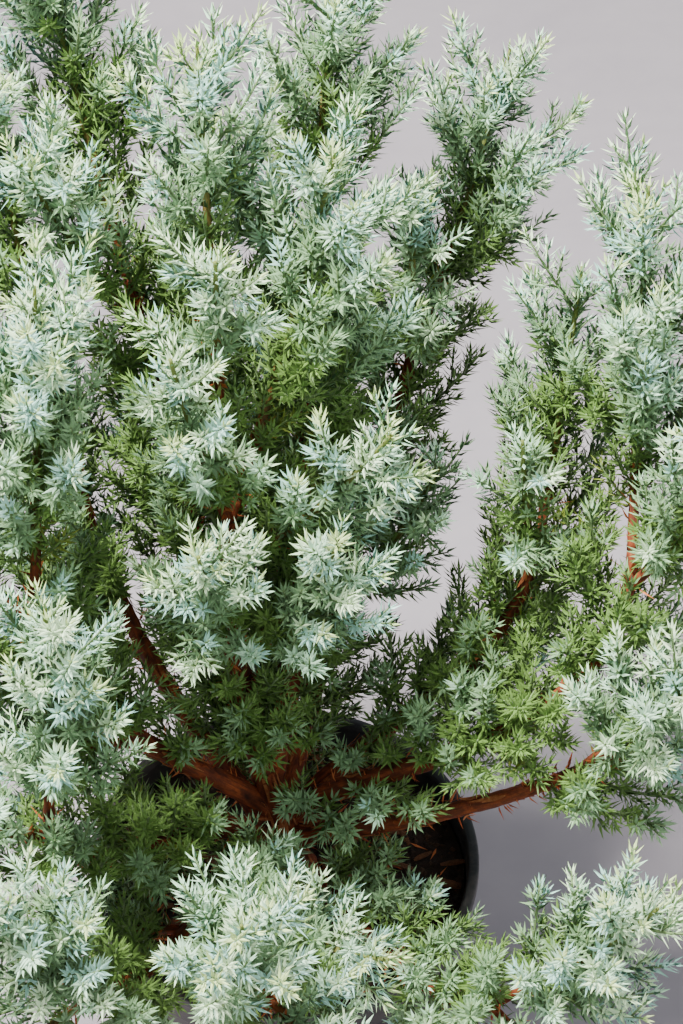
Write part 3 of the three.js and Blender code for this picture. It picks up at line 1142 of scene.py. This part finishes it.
def add_barked(build, curve, radius_at, sides, rings, depth, youth=(0, 0)):
    """A limb with strips and furrows of bark as deep as a share of its radius."""
    share = np.linspace(0, 1, rings)
    radii = radius_at(share)
    angles = np.linspace(0, 2 * math.pi, sides, endpoint=False)
    length = curve.length()
    grain = np.stack([
        (radii[:, None] * np.cos(angles)).ravel(),
        (radii[:, None] * np.sin(angles)).ravel(),
        np.repeat(share * length, sides),
    ], 1)
    grain[:, :2] += curve.at(0.5)[:2]
    relief = relief_at(grain, float(radii.mean()) ** 0.5)
    waves = relief.reshape(rings, sides)
    points = tube(curve, radii[:, None] * (1 + depth * (waves - 0.5)), sides, rings)
    young = np.repeat(np.clip(mix(*youth, share), 0, 1), sides)
    build.add(points, tube_faces(rings, sides), grain=grain, relief=relief, youth=young)


def limb_radius(share):
    """A bough's radius, with a collar where it leaves the trunk."""
    return mix(LIMB_ROOT, LIMB_TIP, share) + COLLAR * np.exp(-share / COLLAR_FALL)


def stem_radius(share):
    return mix(*STEM_RADII, share)


def bark_piece(trunk, limbs, material):
    build = Build()
    add_barked(build, trunk, trunk_radius, TRUNK_SIDES, TRUNK_RINGS, FURROW)
    for limb in limbs:
        rings = round(limb.curve.length() / BOUGH_RING)
        add_barked(build, limb.curve, limb_radius, BOUGH_SIDES, rings, BOUGH_FURROW)
    return build.made("trunk_and_boughs", [material], smooth=True)


def stems_piece(masses, material):
    """The stems of the masses, brown at the foot and green towards the tip."""
    build = Build()
    for mass in masses:
        rings = round(mass.length / STEM_RING)
        add_barked(build, mass.curve, stem_radius, STEM_SIDES, rings, FURROW, youth=(-0.2, 1.6))
    return build.made("stems", [material], smooth=True)


def flakes_piece(trunk, limbs, material):
    """Narrow strips of bark along the limbs, lifted at their ends."""
    rng = np.random.default_rng(SEED + 300)
    build = Build()
    hosts = [(trunk, trunk_radius, TRUNK_FLAKES)]
    hosts += [(limb.curve, limb_radius, BOUGH_FLAKES) for limb in limbs]
    for curve, radius_at, count in hosts:
        length = curve.length()
        for _ in range(count):
            share = rng.uniform(0.06, 0.94)
            half = rng.uniform(2, 7) / length
            stops = np.clip(np.linspace(share - half, share + half, 5), 0, 1)
            centres, ways = curve.at(stops), curve.way(stops)
            out = square(ways, np.full(5, rng.uniform(0, 360)))
            across = np.cross(ways, out)
            lift = rng.uniform(0.3, 1.3, 2)
            curl = np.array([lift[0], 0.25, 0, 0.25, lift[1]])
            radii = radius_at(stops) * 1.06 + curl
            middle = centres + out * radii[:, None]
            wide = rng.uniform(0.35, 0.9) * np.array([0.3, 0.8, 1, 0.8, 0.3])
            left, right = middle - across * wide[:, None], middle + across * wide[:, None]
            raised = out * FLAKE_THICKNESS
            points = np.stack([left, right, right + raised, left + raised], 1).reshape(-1, 3)
            build.add(points, tube_faces(5, 4))
    return build.made("bark_flakes", [material])


# Needles, twigs and what has dried on the limbs


def needle_piece(name, needles, materials, is_sided=False):
    """Needles as one mesh. is_sided: each shade has a material for the upper and one for the lower side."""
    points, faces, sides = needle_mesh(needles)
    slots = np.repeat(needles.shades, len(NEEDLE_FACES))
    if is_sided:
        slots = 2 * slots + sides
    return piece(name, points, faces, materials, slots)


def live_needles_piece(name, shoots, seed, materials):
    rng = np.random.default_rng(seed)
    return needle_piece(name, joined([needles_on(shoot, rng) for shoot in shoots]), materials, is_sided=True)


def twigs_piece(shoots, materials):
    """Slim twigs, green where young, brown where old or deep under other growth (partly painted shade)."""
    build = Build()
    for shoot in shoots:
        rings = max(2, round(shoot.length / 8))
        radii = mix(*shoot.girths, np.linspace(0, 1, rings))
        # Cover turns a twig brown sooner, partly as painted shade
        slot = 1 if shoot.age + shoot.cover > BROWN_AGE else 0
        build.add(tube(shoot.curve, radii, 3, rings), tube_faces(rings, 3), slot)
    return build.made("twigs", materials, smooth=True)


def dry_needles_piece(trunk, limbs, masses, materials):
    """Sparse dry needles that still stand out from the limbs and from the feet of the stems."""
    rng = np.random.default_rng(SEED + 500)
    groups = []
    hosts = [(limb.curve, (0.1, 1), limb_radius) for limb in limbs]
    hosts += [(mass.curve, (0, 0.3), stem_radius) for mass in masses]
    for curve, (first, last), radius_at in hosts:
        count = round(curve.length() * (last - first) / 1.9)
        share = rng.uniform(first, last, count)
        axes = curve.way(share)
        out = square(axes, rng.uniform(0, 360, count))
        groups.append(Needles(
            curve.at(share) + out * (radius_at(share) * 0.9)[:, None],
            *leaning(axes, out, rng.uniform(38, 78, count)),
            DRY_LENGTH * rng.uniform(0.5, 1.15, count),
            rng.uniform(0.45, 0.75, count),
            rng.integers(0, len(materials), count),
        ))
    return needle_piece("dry_needles", joined(groups), materials)


# Pot and compost


def rounded(corners, radius, steps=4):
    """A profile with each inner corner rounded off by a short arc."""
    corners = [np.array(corner, float) for corner in corners]
    softened = [corners[0]]
    for before, corner, after in zip(corners, corners[1:], corners[2:]):
        back, onward = before - corner, after - corner
        reach = min(radius, np.linalg.norm(back) / 2, np.linalg.norm(onward) / 2)
        arc = Curve(corner + unit(back) * reach, corner, corner + unit(onward) * reach)
        softened += list(arc.stops(steps))
    return softened + [corners[-1]]


def lathe(profile, segments):
    """Points and faces of a profile turned about +Z. It starts and ends on the axis."""
    points = [(0, 0, profile[0][1])]
    for radius, height in profile[1:-1]:
        for k in range(segments):
            angle = 2 * math.pi * k / segments
            points.append((radius * math.cos(angle), radius * math.sin(angle), height))
    points.append((0, 0, profile[-1][1]))
    rings, last = len(profile) - 2, len(points) - 1
    faces = []
    for k in range(segments):
        onward = (k + 1) % segments
        faces.append((0, 1 + onward, 1 + k))
        for ring in range(rings - 1):
            low, high = 1 + ring * segments, 1 + (ring + 1) * segments
            faces.append((low + k, low + onward, high + onward, high + k))
        top = 1 + (rings - 1) * segments
        faces.append((top + k, top + onward, last))
    return points, faces


def triangles(faces):
    """Faces with each one of four corners split in two."""
    split = []
    for face in faces:
        split += [face] if len(face) == 3 else [(face[0], face[1], face[3]), face[1:]]
    return split


def sharpen(made, degrees):
    """Smooth shading, with edges sharper than an angle kept crisp."""
    mesh = bmesh.new()
    mesh.from_mesh(made.data)
    for face in mesh.faces:
        face.smooth = True
    for edge in mesh.edges:
        edge.smooth = edge.calc_face_angle(0) < math.radians(degrees)
    mesh.to_mesh(made.data)
    mesh.free()


def cut_away(made, tool):
    """Takes one mesh out of another and removes the tool."""
    cut = made.modifiers.new("cut", "BOOLEAN")
    cut.operation = "DIFFERENCE"
    cut.solver = "EXACT"
    cut.object = tool
    bpy.context.view_layer.update()
    shape = bpy.data.meshes.new_from_object(made.evaluated_get(bpy.context.evaluated_depsgraph_get()))
    made.modifiers.remove(cut)
    made.data = shape
    bpy.data.objects.remove(tool)


def pot_piece(material):
    """The pot as moulded: a recessed underside, ringed wall, stepped band and rolled lip."""
    band_foot = POT_HEIGHT - BAND_HEIGHT
    shoulder = band_foot - BAND_SLOPE
    lip_foot = POT_HEIGHT - LIP_HEIGHT
    slope = (BAND_FOOT_RADIUS - FOOT_RADIUS) / (shoulder - FLOOR)

    def wall_at(height, proud=0.0):
        return (FOOT_RADIUS + slope * (height - FLOOR) + proud, height)

    ring_height, ring_proud, ring_half = 62, 0.5, 1.4
    outer = [
        (0, 1),
        (FOOT_RADIUS - 9, 1),
        (FOOT_RADIUS - 8, 0),
        (FOOT_RADIUS - 3, 0),
        (FOOT_RADIUS, FLOOR),
        wall_at(ring_height - ring_half),
        wall_at(ring_height - ring_half + 0.6, ring_proud),
        wall_at(ring_height + ring_half - 0.6, ring_proud),
        wall_at(ring_height + ring_half),
        (BAND_FOOT_RADIUS, shoulder),
        (BAND_RADIUS, band_foot),
        (BAND_RADIUS, lip_foot),
        (LIP_RADIUS, lip_foot),
        (LIP_RADIUS, POT_HEIGHT),
        (LIP_RADIUS - 3.4, POT_HEIGHT),
        (BAND_RADIUS - WALL, POT_HEIGHT - 3),
        (BAND_RADIUS - WALL, band_foot + BAND_SLOPE / 2),
        (BAND_FOOT_RADIUS - WALL, shoulder),
        (FOOT_RADIUS - WALL, FLOOR),
        (0, FLOOR),
    ]
    points, faces = lathe(rounded(outer, 1.1), 144)
    made = piece("nursery_pot", points, faces, [material])
    drains = Build()
    for k in range(DRAIN_COUNT):
        centre = heading(360 * (k + 0.5) / DRAIN_COUNT, 0) * DRAIN_CIRCLE
        column = Curve(centre - UP * FLOOR, centre, centre + UP * 3 * FLOOR)
        drains.add(tube(column, np.full(2, DRAIN_RADIUS), 24, 2), tube_faces(2, 24))
    cut_away(made, drains.made("drains", []))
    sharpen(made, 40)
    return made


def compost_height(x, y):
    """The lie of the compost: heaped slightly round the trunk, lumpy all over."""
    radius = math.hypot(x, y)
    edge = BAND_FOOT_RADIUS
    fall = min(1, max(0, (radius - COMPOST_TOP_RADIUS) / (edge - COMPOST_TOP_RADIUS)))
    place = Vector((x, y, 0))
    lumps = 1.1 * noise.noise(place * 0.09) + 0.7 * noise.noise(place * 0.3) + 0.35 * noise.noise(place * 0.9)
    return mix(COMPOST_TOP, COMPOST_EDGE, fall) - 0.4 + lumps


def spots_on_compost(rng, reach, count=None):
    """Random places within a radius, even over the surface."""
    radius = reach * np.sqrt(rng.uniform(0, 1, count))
    angle = rng.uniform(0, 2 * math.pi, count)
    return radius * np.cos(angle), radius * np.sin(angle)


def compost_piece(materials):
    """Crumbly surface with loose crumbs and chips of bark on it."""
    rng = np.random.default_rng(SEED + 700)
    edge = BAND_FOOT_RADIUS + 0.4
    rings, segments = 46, 120
    inwards = [(edge * ring / rings, COMPOST_TOP) for ring in range(rings, 0, -1)]
    profile = [(0, COMPOST_FOOT), (COMPOST_FOOT_RADIUS, COMPOST_FOOT), *inwards, (0, COMPOST_TOP)]
    points, faces = lathe(profile, segments)
    points = [(x, y, compost_height(x, y) if z > COMPOST_FOOT else z) for x, y, z in points]
    build = Build()
    build.add(np.array(points), triangles(faces))

    crumb = np.array([(1, 0, 0), (0, 1, 0), (-1, 0, 0), (0, -1, 0), (0, 0, 1), (0, 0, -1)], float)
    crumb_faces = [(0, 1, 4), (1, 2, 4), (2, 3, 4), (3, 0, 4), (1, 0, 5), (2, 1, 5), (3, 2, 5), (0, 3, 5)]
    for _ in range(CRUMBS):
        x, y = spots_on_compost(rng, edge * 0.985)
        size = rng.uniform(0.5, 1.7)
        shape = crumb * rng.uniform(0.6, 1.3, (6, 1)) * size * (1, 1, 0.7)
        build.add(shape + (x, y, compost_height(x, y) + 0.2 * size), crumb_faces, int(rng.integers(0, 2)))

    for _ in range(CHIPS):
        x, y = spots_on_compost(rng, edge * 0.95)
        centre = np.array([x, y, compost_height(x, y) + 0.7])
        lie = heading(rng.uniform(0, 360), rng.uniform(-14, 14))
        length, wide, thick = rng.uniform(2.5, 6.5), rng.uniform(1, 2.4), rng.uniform(0.4, 1)
        chip = Curve(centre - lie * length, centre + UP * 0.3, centre + lie * length)
        points = tube(chip, [wide * 0.6, wide, wide * 0.9, wide * 0.5], 5, 4)
        points = centre + (points - centre) * (1, 1, thick / wide)
        build.add(points, tube_faces(4, 5), 2)
    return build.made("potting_compost", materials)


def fallen_needles_piece(materials):
    """Dry needles that lie on the compost."""
    rng = np.random.default_rng(SEED + 900)
    count = FALLEN_NEEDLES
    x, y = spots_on_compost(rng, BAND_FOOT_RADIUS * 0.9, count)
    z = np.array([compost_height(*place) for place in zip(x, y)]) + 1.0
    ways = np.array([heading(*lie) for lie in zip(rng.uniform(0, 360, count), rng.uniform(-8, 14, count))])
    needles = Needles(
        np.stack([x, y, z], 1),
        ways,
        square(ways, rng.uniform(60, 120, count)),
        DRY_LENGTH * rng.uniform(0.7, 1.2, count),
        rng.uniform(0.45, 0.7, count),
        rng.integers(0, len(materials), count),
    )
    return needle_piece("fallen_needles", needles, materials)


# Stage


def area_light(name, place, size, power, colour=(1, 1, 1)):
    """A soft square light that looks at the crown."""
    data = bpy.data.lights.new(name, "AREA")
    data.shape = "SQUARE"
    data.size = size
    data.energy = power
    data.color = colour
    lamp = in_scene(name, data)
    lamp.location = place
    aim = Vector(CAMERA_TARGET) * MM - lamp.location
    lamp.rotation_euler = aim.to_track_quat("-Z", "Y").to_euler()


def set_stage():
    mesh = bpy.data.meshes.new("floor")
    half = 12.0
    corners = [(-half, -half, 0), (half, -half, 0), (half, half, 0), (-half, half, 0)]
    mesh.from_pydata(corners, [], [(0, 1, 2, 3)])
    mesh.materials.append(mottled_material("floor", 9.0, srgb(158, 150, 156), srgb(166, 158, 163), 0.9))
    floor = in_scene("floor", mesh)

    world = bpy.data.worlds.new("studio")
    world.use_nodes = True
    background = world.node_tree.nodes["Background"]
    feed(world.node_tree, background, {"Color": (0.86, 0.93, 1.0, 1), "Strength": 0.52})
    bpy.context.scene.world = world

    area_light("key", (-0.46, 0.1, 1.7), 0.36, 92, (1.0, 0.99, 0.95))
    area_light("fill", (0.9, -1.2, 1.1), 1.2, 8, (0.95, 0.97, 1.0))


def set_camera():
    down = math.radians(CAMERA_DOWN)
    target = Vector(CAMERA_TARGET) * MM
    back = Vector((0, -math.cos(down), math.sin(down)))
    data = bpy.data.cameras.new("camera")
    data.sensor_width = SENSOR
    data.lens = SENSOR * CAMERA_DISTANCE / FRAME_HEIGHT
    camera = in_scene("camera", data)
    camera.location = target + back * CAMERA_DISTANCE * MM
    camera.rotation_euler = (-back).to_track_quat("-Z", "Y").to_euler()
    bpy.context.scene.camera = camera


# The plant, put together

trunk = trunk_curve()
limbs = [limb_of(name, trunk) for name in BOUGHS]
masses = all_masses(limbs)
growth = growth_by_limb(masses, limbs)

bark = bark_material()
dry = [plain_material(f"dry_needle_{k}", colour, 0.7) for k, colour in enumerate(DRY_COLOURS)]
needle_looks = needle_materials()
twig_looks = [plain_material(*look) for look in TWIG_COLOURS]
flake = mottled_material("bark_flakes", 220.0, srgb(138, 66, 34), srgb(205, 128, 76), 0.85)

for index, (name, shoots) in enumerate(growth.items()):
    needles = live_needles_piece(f"needles_{name}", shoots, SEED + 1000 + index, needle_looks)
    nodes = [f"foliage_{mass.name}" for mass in masses if mass.limb.name == name]
    dress(needles, "foliage", *nodes)
slim = [shoot for shoots in growth.values() for shoot in shoots if shoot.girths != STEM_GIRTHS]
dress(twigs_piece(slim, twig_looks), "foliage")
dress(stems_piece(masses, bark), "bark")
dress(bark_piece(trunk, limbs, bark), "bark", "trunk", *(f"bough_{limb.name}" for limb in limbs))
dress(flakes_piece(trunk, limbs, flake), "bark")
dress(dry_needles_piece(trunk, limbs, masses, dry), "bark")

dress(pot_piece(pot_material()), "pot", "pot")
compost_looks = [
    mottled_material(name, 260.0, dark, light, 0.95, fine_share=0.5, relief=0.0006)
    for name, dark, light in COMPOST_COLOURS
]
dress(compost_piece(compost_looks), "compost", "compost")
dress(fallen_needles_piece(dry), "compost")

set_stage()
set_camera()
